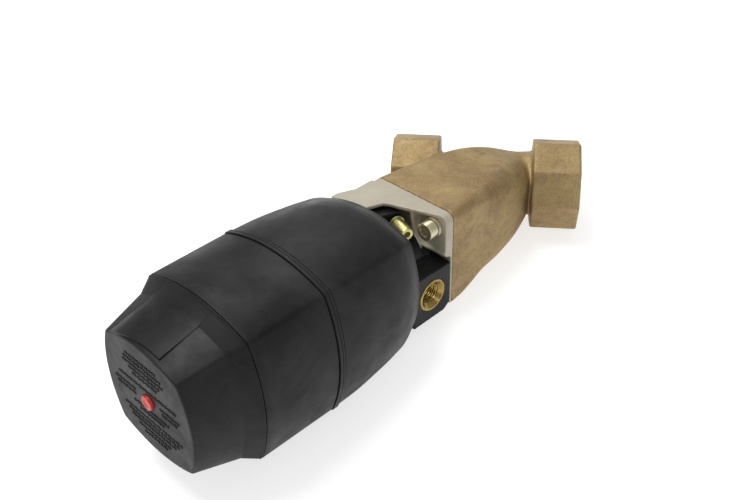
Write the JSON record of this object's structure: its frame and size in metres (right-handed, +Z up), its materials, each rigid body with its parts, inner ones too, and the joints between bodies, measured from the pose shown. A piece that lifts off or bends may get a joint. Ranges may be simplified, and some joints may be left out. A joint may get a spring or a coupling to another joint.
{
  "type": "pneumatic actuated valve",
  "caption": "Angle seat pipe valve: a bronze body with octagonal threaded ends, opened by a spring-return air piston in a square plastic housing.",
  "frame": {"origin": "under the middle of the bounding box, on the surface the valve lies on", "axes": "+X along the pipe towards the inlet end, +Z up from the surface, +Y away from the actuator's cap"},
  "size_m": [0.2288, 0.2484, 0.0971],
  "materials": {
    "cast_bronze": "sand-cast, unpolished",
    "beige_casting": "matt beige coat on a fine casting",
    "black_plastic": "fine moulded grain",
    "black_rubber": "matt",
    "red_plastic": "satin moulded",
    "turned_brass": "bright turned",
    "zinc_plate": "yellow zinc plate",
    "steel": "turned",
    "spring_steel": "drawn wire",
    "aluminium": "machined",
    "ptfe": "smooth white"
  },
  "bodies": {
    "valve_and_housing": {"valve_body": "cast_bronze", "body_gasket": "ptfe", "yoke": "beige_casting", "port_block": "black_plastic", "port_insert": "turned_brass", "port_transfer_oring": "black_rubber", "block_clamp_screw": "zinc_plate", "block_clamp_washer": "zinc_plate", "gland_bush": "turned_brass", "packing_spring": "spring_steel", "packing_washer": "steel", "rod_seal": "black_rubber", "rod_guide_bush": "turned_brass", "lower_housing": "black_plastic", "spring_barrel": "black_plastic", "end_cap": "black_plastic", "housing_lock_wire": "spring_steel", "cap_lock_wire": "spring_steel", "cap_oring": "black_rubber", "yoke_oring": "black_rubber", "indicator_seal": "black_rubber", "spring_seat": "steel", "yoke_nut": "zinc_plate", "outer_spring": "spring_steel", "inner_spring": "spring_steel", "body_screw_1": "zinc_plate", "body_screw_2": "zinc_plate", "body_screw_3": "zinc_plate", "body_screw_4": "zinc_plate", "body_screw_collar_1": "zinc_plate", "body_screw_collar_2": "zinc_plate", "body_screw_collar_3": "zinc_plate", "packing_ring_1": "ptfe", "packing_ring_2": "ptfe", "packing_ring_3": "ptfe", "packing_ring_4": "ptfe", "packing_ring_5": "ptfe"},
    "stem_and_piston": {"stem": "steel", "plug": "steel", "seat_seal": "ptfe", "seal_washer": "steel", "plug_nut": "steel", "piston": "aluminium", "piston_lip_seal": "black_rubber", "piston_guide_ring": "ptfe", "piston_washer": "steel", "piston_nut": "steel", "indicator_rod": "red_plastic"}
  },
  "joints": [
    {"name": "stem_lift", "type": "slide", "parent": "valve_and_housing", "child": "stem_and_piston", "axis": [-0.6184, -0.7775, 0.1145], "range_m": [0, 0.015], "stiffness_N_per_m": 12000, "springref_m": -0.02, "deforming": ["outer_spring", "inner_spring"]}
  ]
}
